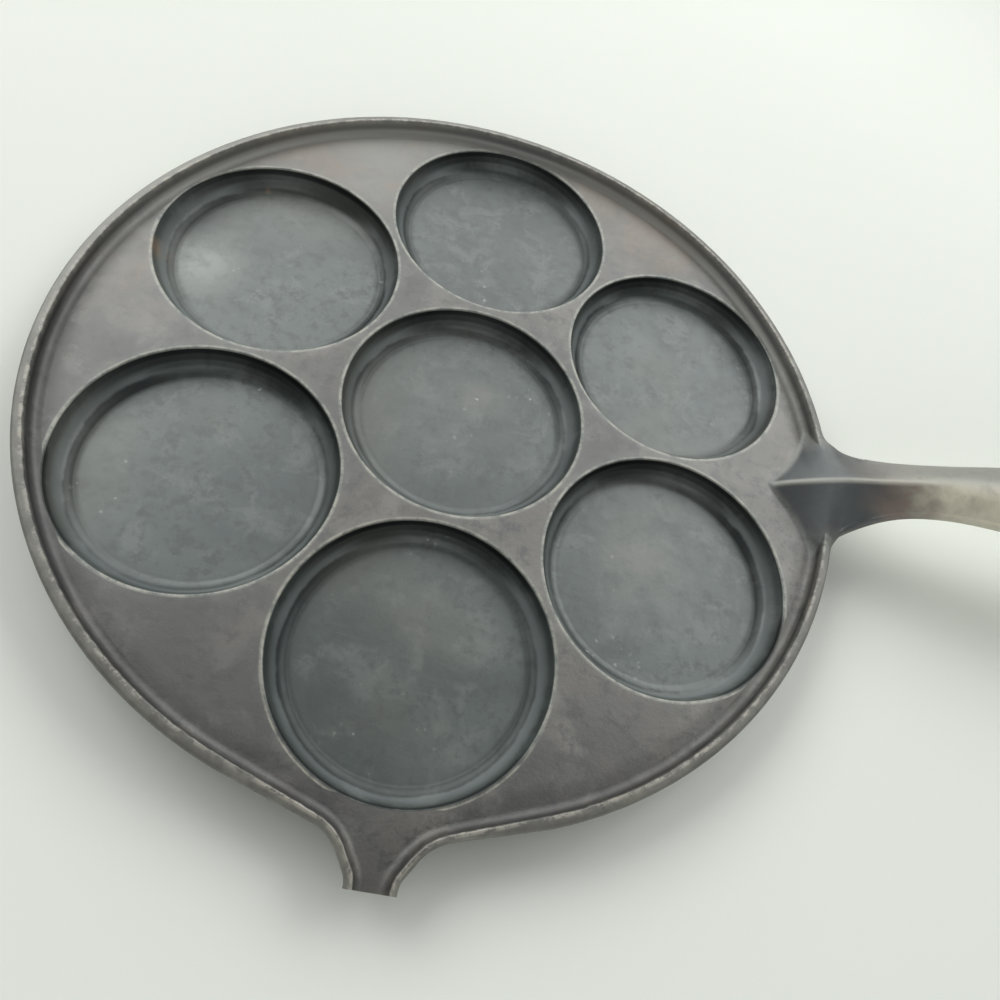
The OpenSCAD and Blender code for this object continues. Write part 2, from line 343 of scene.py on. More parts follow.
def cut_deck():
    loops = [circle(0, 0, deck_r, DECK_STEPS)]
    loops += [circle(*s, r + CUP_MARGIN, CUP_STEPS) for s, r in zip(well_spots, well_sizes)]
    points, faces = [], []
    for loop in loops:
        faces.append(list(range(len(points), len(points) + len(loop))))
        points += loop
    flat, _, triangles, _, _, inside = geometry.delaunay_2d_cdt(points, [], faces, 1, 1e-5)
    bm = new_skin()
    fact = bm.verts.layers.float["from_edge"]
    tops = [bm.verts.new((p.x * MM, p.y * MM, deck_z * MM)) for p in flat]
    for vertex in tops:
        vertex[fact] = -FAR
    for corners, loops_here in zip(triangles, inside):
        if list(loops_here) == [0]:
            bm.faces.new([tops[i] for i in corners])
    bmesh.ops.delete(bm, geom=[v for v in bm.verts if not v.link_faces], context="VERTS")
    pulled = bmesh.ops.extrude_face_region(bm, geom=list(bm.faces))
    lower = [v for v in pulled["geom"] if isinstance(v, bmesh.types.BMVert)]
    bmesh.ops.translate(bm, verts=lower, vec=(0, 0, -deck_t * MM))
    return hang(bm, "deck_plate")


deck = cut_deck()

# %% [markdown]
# ## The pouring beak
# Each wall of the beak leaves the rim's circle along a straight line, turns outward in one
# bend and points straight ahead after a second bend. The rim's section rides along that
# path and shrinks a little. The floor between the walls is the deck, carried on to the tip.
# The real beak was drawn by hand and isn't quite even, so each side has its own half gap
# and wall. Both halves meet in one plane, where their inner faces are taken out.

# %% Sweep the beak
BEAK_TURN, BEAK_SWEEP_R, BEAK_STRAIGHT, BEAK_END_R = 57.0, 15.0, 4.0, 8.0
# Half gap and wall of the side towards the handle and of the other one
BEAK_SIDES = {1: (5.0, 1.8), -1: (3.5, 2.1)}
HOLLOW_SHARE = 0.6
BEAK_TIP_Y, BEAK_TIP_H = -135.3, 4.1
SIDE_STEPS, BEND_STEPS, END_STEPS = 24, 22, 20


def bend(x, y, r, first, last, steps):
    """Places and headings along an arc that starts at x, y."""
    turns = [first + (last - first) * i / steps for i in range(steps + 1)]
    return [(x - r * (sin_d(a) - sin_d(first)), y - r * (cos_d(first) - cos_d(a)), a) for a in turns]


def beak_path(half_gap):
    """Places and headings of the inner edge, from the rim's circle to the tip."""
    x3 = half_gap + BEAK_END_R * (1 - sin_d(BEAK_TURN))
    x2 = x3 + BEAK_STRAIGHT * cos_d(BEAK_TURN)
    x1 = x2 + BEAK_SWEEP_R * (sin_d(BEAK_TURN) - sin_d(BEAK_ANGLE))
    x0, y0 = rim_in_r * sin_d(BEAK_ANGLE), -rim_in_r * cos_d(BEAK_ANGLE)
    y1 = y0 - (x0 - x1) * tan_d(BEAK_ANGLE)
    y2 = y1 - BEAK_SWEEP_R * (cos_d(BEAK_ANGLE) - cos_d(BEAK_TURN))
    y3 = y2 - BEAK_STRAIGHT * sin_d(BEAK_TURN)
    shares = [k / SIDE_STEPS for k in range(SIDE_STEPS)]
    path = [(x0 + (x1 - x0) * k, y0 + (y1 - y0) * k, BEAK_ANGLE) for k in shares]
    path += bend(x1, y1, BEAK_SWEEP_R, BEAK_ANGLE, BEAK_TURN, BEND_STEPS)
    path += bend(x3, y3, BEAK_END_R, BEAK_TURN, 90, END_STEPS)
    path.append((half_gap, BEAK_TIP_Y, 90.0))
    return path


def beak_rings(half_gap, wall_t):
    path = beak_path(half_gap)
    last = len(path) - 1
    rings = []
    for i, (px, py, heading) in enumerate(path):
        nx, ny = sin_d(heading), -cos_d(heading)
        k, m = min(1.0, i / SIDE_STEPS), max(0.0, (i - SIDE_STEPS) / (last - SIDE_STEPS))
        wall, high = RIM_T + (wall_t - RIM_T) * k, rim_h + (BEAK_TIP_H - rim_h) * m
        hollow = RIM_FILLET + (half_gap * HOLLOW_SHARE - RIM_FILLET) * m
        side = 270 + BEAK_ANGLE * (1 - k)
        near = max(deck_r, well_reach(side))
        floor_end = (near * cos_d(side), near * sin_d(side) + (path[last][1] + near) * m)
        ring = []
        section = rim_section(wall, high, hollow, rim_foot)
        for j, (u, z) in enumerate(section):
            if j in (0, len(section) - 1):
                ring.append((*floor_end, deck_z + z, -FAR / 4))
            else:
                ring.append(roughened(px + nx * u, py + ny * u, z, u, nx, ny, high))
        rings.append(ring)
    return rings


def sweep_beak():
    bm = new_skin()
    loft(bm, beak_rings(*BEAK_SIDES[1]))
    other = reversed(beak_rings(*BEAK_SIDES[-1]))
    loft(bm, [[(-x, y, z, u) for x, y, z, u in ring] for ring in other])
    middle = [f for f in bm.faces if all(abs(v.co.x) < THIN_MM * MM for v in f.verts)]
    bmesh.ops.delete(bm, geom=middle, context="FACES")
    return hang(bm, "pour_beak", RIM_CREASE)


beak = sweep_beak()

# %% [markdown]
# ## The handle
# The handle starts as a roof: its ridge rises out of the deck, passes over the rim, and its
# slopes then swell into one round back. A table of stations holds its widths and heights,
# and smooth curves join them, as a pattern maker's templates would.

# %% Draw the handle's table
root_z = -deck_t / 2
# Distance beyond the rim, half width, edge, ridge, underside, hollow, round share, steepness
HANDLE_ROWS = [
    (-19.4, 0.4, -0.5, -0.1, root_z, 1.1, 0, 0.80),
    (-16.5, 3.2, -0.4, 2.8, root_z, 1.1, 0, 0.80),
    (-13.0, 7.6, -0.4, 5.4, root_z, 1.1, 0, 0.70),
    (-9.5, 13.6, -0.4, 7.8, root_z, 1.15, 0, 0.575),
    (-7.3, 19.0, -0.2, 9.2, root_z, 1.3, 0, 0.47),
    (-4.2, 20.6, rim_h - 0.5, 11.0, root_z, 1.6, 0, 0.37),
    (-1.8, 20.3, rim_h - 0.3, 12.3, root_z, 1.6, 0, 0.375),
    (-0.6, 18.4, rim_h + 0.1, 12.9, root_z, 1.55, 0, 0.40),
    (0.7, 16.5, 6.5, 13.5, root_z - 0.4, 1.5, 0, 0.455),
    (3.9, 14.1, 8.6, 14.8, 1.3, 1.35, 0, 0.56),
    (8.8, 12.0, 11.1, 16.6, 6.6, 1.15, 0, 0.72),
    (15.0, 10.3, 14.6, 19.2, 11.2, 1, 0.2, 0.72),
    (22.0, 9.6, 17.9, 22.1, 14.7, 1, 0.65, 0.72),
    (32.0, 9.9, 21.3, 25.6, 18.2, 1, 1, 0.72),
    (45.0, 11.4, 24.5, 29.0, 21.4, 1, 1, 0.72),
    (60.0, 12.9, 27.1, 30.9, 23.8, 1, 1, 0.72),
    (80.0, 14.2, 29.4, 32.5, 25.8, 1, 1, 0.72),
    (100.0, 14.7, 31.0, 33.7, 27.2, 1, 1, 0.72),
    (handle_len - 14.4, 14.4, 31.7, 34.1, 27.9, 1, 1, 0.72),
    (handle_len, 3, 32.0, 33.2, 28.4, 1, 1, 0.72),
]
HANDLE_END_R, HANG_HOLE_R, EDGE_R, RIDGE_SOFT = 14.4, 5.5, 1.7, 0.09
NECK_X, GRIP_X = 8.8, 32.0
HANDLE_SHARP = 62.0
TIP_SLOPE = 1.2
handle_end_x = handle_len - HANDLE_END_R


def table_slope(i, c):
    a, b = HANDLE_ROWS[max(0, i - 1)], HANDLE_ROWS[min(len(HANDLE_ROWS) - 1, i + 1)]
    return (b[c] - a[c]) / (b[0] - a[0])


def smooth(x, c):
    """One column of the table at a distance beyond the rim."""
    i = max([0] + [k for k in range(len(HANDLE_ROWS) - 1) if HANDLE_ROWS[k][0] <= x])
    low, high = HANDLE_ROWS[i], HANDLE_ROWS[i + 1]
    w = high[0] - low[0]
    s = max(0.0, min(1.0, (x - low[0]) / w))
    value = low[c] * (1 + 2 * s) * (1 - s) ** 2 + high[c] * s * s * (3 - 2 * s)
    leaving = table_slope(i, c) * s * (1 - s) ** 2
    arriving = table_slope(i + 1, c) * s * s * (1 - s)
    return value + w * (leaving - arriving)


def half_width(x):
    if x <= handle_end_x:
        return smooth(x, 1)
    return math.sqrt(max(0.0, HANDLE_END_R**2 - (x - handle_end_x) ** 2))


def back(s, hollow, round_share):
    """Height across the handle, from 1 on the ridge to 0 at the edge."""
    soft = math.sqrt(1 + RIDGE_SOFT**2) - RIDGE_SOFT
    a = min(1.0, (math.sqrt(s * s + RIDGE_SOFT**2) - RIDGE_SOFT) / soft)
    return (1 - round_share) * (1 - a) ** hollow + round_share * (1 - s * s)


def edge_round(x):
    return min(EDGE_R, (smooth(x, 2) - smooth(x, 4)) * 0.45, half_width(x) * 0.4)


TOP_STEPS = 34
across = [math.copysign(abs(k / TOP_STEPS) ** 1.25, k) for k in range(TOP_STEPS, -TOP_STEPS - 1, -1)]


def handle_ring(x):
    w, edge, ridge, under = half_width(x), smooth(x, 2), smooth(x, 3), smooth(x, 4)
    share = min(1.0, max(0.0, smooth(x, 6)))
    hollow, q = smooth(x, 5), edge_round(x)
    flat = [((w - q) * s, edge + (ridge - edge) * back(s, hollow, share)) for s in across]
    flat += arc(-(w - q), edge - q, q, 105, 180, 5)
    flat += arc(-(w - q), under + q, q, 180, 270, 6)
    flat += arc(w - q, under + q, q, 270, 360, 6)
    flat += arc(w - q, edge - q, q, 0, 75, 5)
    return [(rim_out_r + x, y, deck_z + z) for y, z in flat]


def stretch(first, last, count):
    return [handle_ring(first + (last - first) * i / count) for i in range(count + 1)]


bm = new_skin()
loft(bm, stretch(NECK_X, GRIP_X, 48))
neck = hang(bm, "handle_neck", HANDLE_SHARP)

# %% [markdown]
# ## The grip and its hole
# The grip ends in a half round, and a hole lets the pan hang from a nail. The hole is a
# plain Boolean cut, since it meets the curved back at an edge that a loft can't follow.

# %% Loft the grip and cut its hole
grip_rings = stretch(GRIP_X, handle_end_x, 72)
grip_rings += [handle_ring(handle_end_x + HANDLE_END_R * sin_d(3.5 * i)) for i in range(1, 25)]
bm = new_skin()
loft(bm, grip_rings)
grip = hang(bm, "handle_grip", HANDLE_SHARP)


DRILL_Z, DRILL_LEN, HOLE_STEPS = 30, 40, 96


def drill(piece, x, r):
    """Cuts an upright round hole through a piece."""
    bm = bmesh.new()
    at = Matrix.Translation(((rim_out_r + x) * MM, 0, (deck_z + DRILL_Z) * MM))
    size = {"radius1": r * MM, "radius2": r * MM, "depth": DRILL_LEN * MM}
    bmesh.ops.create_cone(bm, cap_ends=True, segments=HOLE_STEPS, matrix=at, **size)
    bit_data = bpy.data.meshes.new("drill_bit")
    bm.to_mesh(bit_data)
    bm.free()
    bit = bpy.data.objects.new("drill_bit", bit_data)
    bpy.context.scene.collection.objects.link(bit)
    cut = piece.modifiers.new("hang_hole", "BOOLEAN")
    cut.object = bit
    cut.solver = "EXACT"
    bpy.context.view_layer.update()
    ready = piece.evaluated_get(bpy.context.evaluated_depsgraph_get())
    piece.data = bpy.data.meshes.new_from_object(ready)
    piece.modifiers.clear()
    bpy.data.objects.remove(bit)
    for face in piece.data.polygons:
        face.use_smooth = True
    piece.data.set_sharp_from_angle(angle=math.radians(HANDLE_SHARP))
    print("faces after the cut", len(piece.data.polygons))


drill(grip, handle_end_x, HANG_HOLE_R)

# %% [markdown]
# ## The root of the handle
# Here three forms run into one another: the roof of the handle, the rim and the deck. On
# the real casting no crease parts them, because the pattern's corners were filled with wax.
# So the top is one field of heights, a soft maximum of roof and rim, drawn along rays from
# the pan's middle. The rays fan out over the root's outline: rim, flare and neck.

# %% Define the field of heights
BLEND = 1.6
RIM_FADES = (11.0, 18.5)
RIDGE_MM, SECTION_FROM = 0.8, -0.5
EDGE_FALL, SHOULDER_FALL = 0.9, 1.4
wall_u = corner_u + RIM_FILLET * cos_d(RIM_DRAFT)
shoulder_u = RIM_T - SHOULDER_ROUND


def soft_max(a, b, width):
    h = max(0.0, width - abs(a - b)) / width
    return max(a, b) + h * h * width / 4


def rim_height(u):
    """Height of the rim's top side over the deck, at a distance out from its inner edge."""
    if u <= corner_u:
        return 0.0
    if u < wall_u:
        return RIM_FILLET - math.sqrt(max(0.0, RIM_FILLET**2 - (u - corner_u) ** 2))
    if u < 0:
        wall_foot = RIM_FILLET * (1 - sin_d(RIM_DRAFT))
        return min(rim_h - TOP_ROUND, wall_foot + (u - wall_u) / tan_d(RIM_DRAFT))
    if u < TOP_ROUND:
        return rim_h - TOP_ROUND + math.sqrt(TOP_ROUND**2 - (TOP_ROUND - u) ** 2)
    if u < shoulder_u:
        return rim_h - SHOULDER_DROP * (u - TOP_ROUND) / (shoulder_u - TOP_ROUND)
    return rim_h - SHOULDER_DROP - SHOULDER_FALL * (u - shoulder_u)


def roof_height(x, y):
    """Height of the handle's roof: plain slopes at the root, the neck's section farther out."""
    first = HANDLE_ROWS[0][0]
    if x < first:
        return roof_height(first, y) + (x - first) * TIP_SLOPE
    w, edge, ridge, q = half_width(x), smooth(x, 2), smooth(x, 3), edge_round(x)
    plain = ridge - smooth(x, 7) * (math.sqrt(y * y + RIDGE_MM**2) - RIDGE_MM)
    s = abs(y) / (w - q)
    section = edge + (ridge - edge) * back(min(s, 1.0), smooth(x, 5), 0.0)
    section -= EDGE_FALL * max(0.0, abs(y) - (w - q))
    k = max(0.0, min(1.0, (x - SECTION_FROM) / (NECK_X - SECTION_FROM)))
    k = k * k * (3 - 2 * k)
    return plain * (1 - k) + section * k


def root_height(x, y):
    """The rim sinks into the roof from the root's ends towards its middle."""
    k = max(0.0, min(1.0, (abs(y) - RIM_FADES[0]) / (RIM_FADES[1] - RIM_FADES[0])))
    rim = rim_height(math.hypot(x, y) - rim_in_r) * k * k * (3 - 2 * k)
    return soft_max(roof_height(x - rim_out_r, y), rim, BLEND)


print("root height at the rim's edge", round(root_height(rim_in_r, 0), 2))

# %% Loft the root along rays
INNER_STEPS, OUTER_STEPS, UNDER_STEPS, ARC_STEPS = 36, 12, 6, 6
FLARE_FROM, FLARE_STEPS, SMOOTHINGS = -1.45, 56, 10
RIM_STEP_FINE, RIM_POINTS = 0.12, 17
UNDER_DECK, SUNK = 0.02, 0.3
rim_top = rim_section(RIM_T, rim_h, RIM_FILLET, rim_foot)
rim_us = [u for u, z in rim_top if z > -0.01 and u > corner_u - 0.001]
rim_us += [wall_u * i / 7 for i in range(1, 7)]
rim_us += [TOP_ROUND + (shoulder_u - TOP_ROUND) * i / 5 for i in range(1, 5)]
rim_us = sorted({round(u, 4) for u in rim_us if u <= shoulder_u})


def flare_outline():
    """Outline points from the rim's circle to the neck, on the side of positive y."""
    turns = [ROOT_ANGLE - RIM_STEP_FINE * i for i in range(RIM_POINTS)]
    path = [(rim_out_r * cos_d(a), rim_out_r * sin_d(a)) for a in turns]
    shares = [(i / FLARE_STEPS) ** 1.15 for i in range(FLARE_STEPS + 1)]
    xs = [FLARE_FROM + (NECK_X - FLARE_FROM) * k for k in shares]
    path += [(rim_out_r + x, half_width(x)) for x in xs]
    for _ in range(SMOOTHINGS):
        threes = zip(path, path[1:], path[2:])
        middle = [tuple((a + 2 * b + c) / 4 for a, b, c in zip(*three)) for three in threes]
        path = [path[0]] + middle + [path[-1]]
    return path


def inner_start(cx, cy):
    """Where the top skin dips under the deck along a ray, or else the rim's foot."""
    r = deck_r
    while r > 100 and root_height(r * cx, r * cy) > 0.004:
        r -= 0.2
    return r


def top_points(start, stop, cx, cy, end):
    rs = [start + (deck_r + FLAT_FOOT - start) * i / INNER_STEPS for i in range(INNER_STEPS)]
    rs += [rim_in_r + u for u in rim_us]
    first = rs[-1]
    rs += [first + (stop - first) * i / OUTER_STEPS for i in range(1, OUTER_STEPS + 1)]
    points = []
    for k, r in enumerate(rs):
        x, y = end if k == len(rs) - 1 else (r * cx, r * cy)
        z, u = root_height(x, y), r - rim_in_r
        if k == 0:
            z = 0.0 if start >= deck_r else -UNDER_DECK
        bare = max(0.0, min(1.0, rim_height(u) - roof_height(x - rim_out_r, y)))
        points.append(roughened(x, y, z, u, cx, cy, rim_h, bare))
    return points


def root_ring(ox, oy, nx, ny, rim_share, end_face=False):
    """One closed ring: top skin, outer edge, underside, and back to the start."""
    reach = math.hypot(ox, oy)
    cx, cy = ox / reach, oy / reach
    px = max(ox - rim_out_r, 0.0)
    q = 0.0 if end_face else SHOULDER_ROUND * rim_share + edge_round(px) * (1 - rim_share)
    under = -deck_t * rim_share + smooth(px, 4) * (1 - rim_share)
    lean = RIM_LEAN * rim_share
    ex, ey = ox - nx * q, oy - ny * q
    start = inner_start(cx, cy)
    ring = top_points(start, math.hypot(ex, ey), cx, cy, (ex, ey))
    top = ring[-1][2] - deck_z
    side = []
    for k in range(1, ARC_STEPS + 1):
        t = 90 - 90 * k / ARC_STEPS
        side.append((q * cos_d(t), top - q + q * sin_d(t)))
    for k in range(ARC_STEPS + 1):
        t = -12 - 78 * k / ARC_STEPS
        side.append((q * cos_d(t) - lean, under + q + q * sin_d(t)))
    if end_face:
        side = [(0.0, top + (under - top) * (k + 1) / len(side)) for k in range(len(side))]
    for out, z in side:
        x, y = ex + nx * out, ey + ny * out
        ring.append((x, y, deck_z + z, math.hypot(x, y) - rim_in_r))
    first = math.hypot(*ring[-1][:2])
    for k in range(1, UNDER_STEPS + 1):
        r = first + (deck_r - first) * k / UNDER_STEPS
        ring.append((r * cx, r * cy, deck_z + under + (-deck_t - under) * (k / UNDER_STEPS) ** 1.5))
    inside = start < deck_r
    ring.append((deck_r * cx, deck_r * cy, deck_z - (SUNK if inside else deck_t * 0.98)))
    ring.append((start * cx, start * cy, deck_z - (SUNK if inside else deck_t * 0.96)))
    return ring


def build_root():
    side = flare_outline()
    rings = []
    for i, (x, y) in enumerate(side[:-1]):
        before, after = side[max(0, i - 1)], side[i + 1]
        tx, ty = after[0] - before[0], after[1] - before[1]
        size = math.hypot(tx, ty)
        share = 1 - max(0.0, min(1.0, (x - rim_out_r + 1.9) / 2.6))
        rings.append(root_ring(x, y, -ty / size, tx / size, share * share * (3 - 2 * share)))
    w, q = half_width(NECK_X), edge_round(NECK_X)
    rings.append(root_ring(rim_out_r + NECK_X, w, 0.0, 1.0, 0.0))
    for s in across[: TOP_STEPS + 1]:
        rings.append(root_ring(rim_out_r + NECK_X, (w - q) * s, 1.0, 0.0, 0.0, True))
    mirrored = [[(p[0], -p[1], *p[2:]) for p in ring] for ring in reversed(rings[:-1])]
    bm = new_skin()
    loft(bm, rings + mirrored)
    return hang(bm, "handle_root", HANDLE_SHARP)


root = build_root()

# %% [markdown]
# ## Shader maths as plain expressions
# A finish is mostly arithmetic on a few patterns: how near a point is to a lip, how a noise
# varies, how much of one colour shows through another. One small class wraps a node's
# socket, so that an expression such as `1 - wear * 0.5` adds the Math nodes by itself.

# %% Define the socket wrapper
class Flow:
    """A number or colour that flows from one node to the next."""

    def __init__(self, tree, socket):
        self.tree = tree
        self.socket = socket

    def node(self, kind, settings=None, inputs=None, out=0):
        """Adds a node, sets it up, fills its inputs and returns one of its outputs."""
        made = self.tree.nodes.new(kind)
        for name, value in (settings or {}).items():
            setattr(made, name, value)
        for name, value in (inputs or {}).items():
            if isinstance(value, Flow):
                self.tree.links.new(value.socket, made.inputs[name])
            else:
                made.inputs[name].default_value = value
        return Flow(self.tree, made.outputs[out])

    def maths(self, operation, *values):
        return self.node("ShaderNodeMath", {"operation": operation}, dict(enumerate(values)))

    def __add__(self, other):
        return self.maths("ADD", self, other)

    __radd__ = __add__

    def __sub__(self, other):
        return self.maths("SUBTRACT", self, other)

    def __rsub__(self, other):
        return self.maths("SUBTRACT", other, self)

    def __mul__(self, other):
        return self.maths("MULTIPLY", self, other)

    __rmul__ = __mul__

    def limit(self, low, high):
        """0 at low, 1 at high and a soft step between them; high may be the lower one."""
        values = {"Value": self, "From Min": min(low, high), "From Max": max(low, high)}
        if low > high:
            values.update({"To Min": 1.0, "To Max": 0.0})
        return self.node("ShaderNodeMapRange", {"interpolation_type": "SMOOTHSTEP"}, values)

    def peak(self, place, width):
        """1 at a place and 0 beyond a width on both sides of it."""
        return self.maths("ABSOLUTE", self - place).limit(width, 0)

    def mix(self, other, share):
        """This colour with a share of another one over it."""
        return self.node("ShaderNodeMix", {"data_type": "RGBA"}, {0: share, 6: self, 7: other}, out=2)


def blend_colours(flow, share, low, high):
    return flow.node("ShaderNodeMix", {"data_type": "RGBA"}, {0: share, 6: low, 7: high}, out=2)


print("wrapper ready")

# %% [markdown]
# ## Patterns that all the iron shares
# Places come from the object's own coordinates, which are metres in the pan's frame, so a
# pattern runs on across the border between two regions as it does on the real casting.

# %% Define the places and patterns
IRON_IOR = 2.2
GRAIN_DEPTH = 0.15


def start_material(name):
    material = bpy.data.materials.new(name)
    material.use_nodes = True
    tree = material.node_tree
    tree.nodes.clear()
    place = Flow(tree, None).node("ShaderNodeTexCoord", out=3)
    return material, tree, place


def cloud(place, scale, detail=4.0, rough=0.55, warp=0.0):
    inputs = {"Vector": place, "Scale": scale, "Detail": detail, "Roughness": rough}
    return place.node("ShaderNodeTexNoise", {}, {**inputs, "Distortion": warp})


def cells(place, scale):
    return place.node("ShaderNodeTexVoronoi", {}, {"Vector": place, "Scale": scale})


def axis(place, which):
    return place.node("ShaderNodeSeparateXYZ", {}, {"Vector": place}, out=which)


def moved(place, offset):
    return place.node("ShaderNodeVectorMath", {"operation": "ADD"}, {0: place, 1: offset})


def stretched(place, factors):
    return place.node("ShaderNodeVectorMath", {"operation": "MULTIPLY"}, {0: place, 1: factors})


def shaken(place, scale, share):
    """Places pushed about by a fine noise, so that round cells turn ragged."""
    push = place.node("ShaderNodeTexNoise", {}, {"Vector": place, "Scale": scale}, out=1)
    return moved(place, stretched(push, (share, share, share)))


def distance_from(place, x, y):
    """Level distance of each point from an upright line, in metres."""
    flat = stretched(place, (1, 1, 0))
    centre = (x * MM, y * MM, 0)
    return flat.node("ShaderNodeVectorMath", {"operation": "DISTANCE"}, {0: flat, 1: centre}, out=1)


def iron_relief(place):
    return cloud(place, 420.0, 5.0, 0.6) + 0.35 * cloud(moved(place, (1, 2, 3)), 1500.0, 2.0, 0.5)


def finish_iron(made, colour, rough, height, grain, grime_and_shade, tint):
    """Joins colour, roughness, relief, and grime with painted shade, to one Principled shader."""
    material, tree, place = made
    depth = {"Strength": grain, "Distance": GRAIN_DEPTH * MM}
    relief = place.node("ShaderNodeBump", {}, {**depth, "Height": height})
    shader = tree.nodes.new("ShaderNodeBsdfPrincipled")
    tree.links.new(colour.mix(SOOT_AND_SHADE, grime_and_shade).socket, shader.inputs["Base Color"])
    tree.links.new(rough.socket, shader.inputs["Roughness"])
    tree.links.new(grime_and_shade.socket, shader.inputs["Metallic"])
    tree.links.new(relief.socket, shader.inputs["Normal"])
    shader.inputs["IOR"].default_value = IRON_IOR
    shader.inputs["Specular Tint"].default_value = tint
    out = tree.nodes.new("ShaderNodeOutputMaterial")
    tree.links.new(shader.outputs[0], out.inputs[0])
    return material


print("patterns ready")

# %% [markdown]
# ## The deck
# The deck has a brown-grey coat with soft lighter clouds and a few tan patches of old rust.
# Next to the rim the deck is darker, partly from grime where a cloth never reaches the corner
# and partly from painted shade, and both are heavier on the near side. A painted sheen makes
# the deck paler along the far edge and on its far part, the floor of the beak gets painted
# shade, and a painted shadow darkens the deck's near left part. Grime and painted shade
# swallow light, so they go to the shader as a nearly black metal, not as a darker paint.
# Colours are named before they are used, and places are given as x, y and width in millimetres.

# %% Make the deck's finish
# Nearly black: the colour of grime and of painted shade, both given as metal
SOOT_AND_SHADE = (0.006, 0.006, 0.007, 1)
SLATE_DARK = (0.004, 0.006, 0.006, 1)
SLATE = (0.010, 0.019, 0.017, 1)
SLATE_LIGHT = (0.050, 0.066, 0.060, 1)
SLATE_PALE = (0.115, 0.128, 0.118, 1)
STREAK_BLUE = (0.150, 0.172, 0.170, 1)
WARM_GREY = (0.066, 0.056, 0.042, 1)
WARM_PALE = (0.120, 0.112, 0.095, 1)
DECK_DARK = (0.012, 0.013, 0.0135, 1)
DECK_BROWN = (0.033, 0.033, 0.032, 1)
DECK_LIGHT = (0.088, 0.083, 0.073, 1)
DECK_PALE = (0.155, 0.148, 0.130, 1)
TAN = (0.22, 0.150, 0.085, 1)
WORN = (0.40, 0.38, 0.31, 1)
OLIVE = (0.130, 0.128, 0.102, 1)
OLIVE_DARK = (0.056, 0.053, 0.041, 1)
OLIVE_PALE = (0.30, 0.30, 0.26, 1)
SHEEN = (0.235, 0.240, 0.215, 1)
SPECK = (0.34, 0.34, 0.29, 1)
COOL_TINT = (0.93, 1.0, 0.98, 1)
WARM_TINT = (0.985, 1.0, 0.978, 1)
PALE_SPOTS = [(50.0, 94.0, 32), (-103.0, 14.0, 30), (-48.0, 94.0, 44), (100.0, 20.0, 24)]
BEAK_SHADE = (0, -131, 22)
# Painted light on the rim's outer band towards the far left
RIM_PAINTED_LIGHT = (-118, 50, 110)
# Painted shadow on the deck's near left part
NEAR_LEFT_SHADOW = (-58, -82, 36)
LIP_OUT, LIP_WIDTH = 0.4, 3.6
TOP_SHEEN = (-50, 102, 60)
TAN_SPOTS = [(58, 97, 30), (34, 106, 26), (-70, 86, 26)]


def strongest(flows):
    """The largest of several flows at each point."""
    best = flows[0]
    for flow in flows[1:]:
        best = best.maths("MAXIMUM", best, flow)
    return best


def lip_nearness(place):
    """1 on the lips of the wells and 0 beyond a few millimetres."""
    lips = [(x, y, r + LIP_OUT) for (x, y), r in zip(well_spots, well_sizes)]
    return strongest([distance_from(place, x, y).peak(r * MM, LIP_WIDTH * MM) for x, y, r in lips])


def spot(place, x, y, width):
    """1 at a place on the pan and 0 beyond a width."""
    return distance_from(place, x, y).limit(width * MM, 0)


def far_share(place):
    """0 on the near half of the pan and 1 towards its far edge."""
    return axis(place, 1).limit(0.0, 60.0 * MM)


def deck_colour(place):
    broad = cloud(place, 15.0, 3.0, 0.5, 0.4)
    middle = cloud(moved(place, (1.3, 2.2, 0.0)), 62.0, 5.0, 0.62, 0.5)
    fine = cloud(moved(place, (3.1, 0.7, 0.0)), 210.0, 5.0, 0.7)
    colour = blend_colours(place, broad.limit(0.36, 0.66), DECK_BROWN, DECK_LIGHT)
    colour = colour.mix(DECK_PALE, middle.limit(0.48, 0.66) * 0.65)
    colour = colour.mix(DECK_DARK, fine.limit(0.47, 0.66) * 0.8)
    rust = cloud(moved(place, (0.0, 5.0, 1.0)), 44.0, 6.0, 0.68, 0.6).limit(0.47, 0.68)
    patches = strongest([spot(place, *one) for one in PALE_SPOTS])
    colour = colour.mix(DECK_PALE, patches * 0.8 * middle.limit(0.2, 0.6))
    # Painted sheen: paler on the deck's far part and along its far edge by the rim
    colour = colour.mix(SHEEN, spot(place, *TOP_SHEEN) * 0.55)
    corner = distance_from(place, 0, 0).limit((rim_in_r - 9.0) * MM, (rim_in_r - 3.5) * MM)
    colour = colour.mix(SHEEN, corner * far_share(place) * 0.4)
    colour = colour.mix(TAN, rust * (0.10 + 0.5 * patches))
    colour = colour.mix(TAN, strongest([spot(place, *one) for one in TAN_SPOTS]) * 0.3)
    # Painted shadow on the near left part of the deck
    colour = colour.mix(DECK_DARK, spot(place, *NEAR_LEFT_SHADOW) * 0.7)
    return colour.mix(DECK_PALE, lip_nearness(place) * middle.limit(0.3, 0.6) * 0.3)


def deck_grime_and_shade(place):
    """Grime and painted shade in the corner by the rim, and painted shade on the floor of the beak.
    """
    ragged = distance_from(place, 0, 0) + 0.005 * cloud(place, 48.0, 4.0, 0.6)
    corner = ragged.limit((rim_in_r - 6.0) * MM, (rim_in_r - 1.5) * MM)
    fine = cloud(moved(place, (6.0, 0.0, 0.0)), 130.0, 4.0, 0.6)
    corner = corner * (0.22 - 0.2 * far_share(place))
    return strongest([corner, spot(place, *BEAK_SHADE) * 0.32]) * (0.7 + 0.6 * fine)


def make_deck_iron():
    made = start_material("deck_iron")
    place = made[2]
    rough = 0.42 + 0.20 * cloud(place, 70.0, 4.0, 0.6)
    colour, grime_and_shade = deck_colour(place), deck_grime_and_shade(place)
    return finish_iron(made, colour, rough, iron_relief(place), 0.5, grime_and_shade, WARM_TINT)
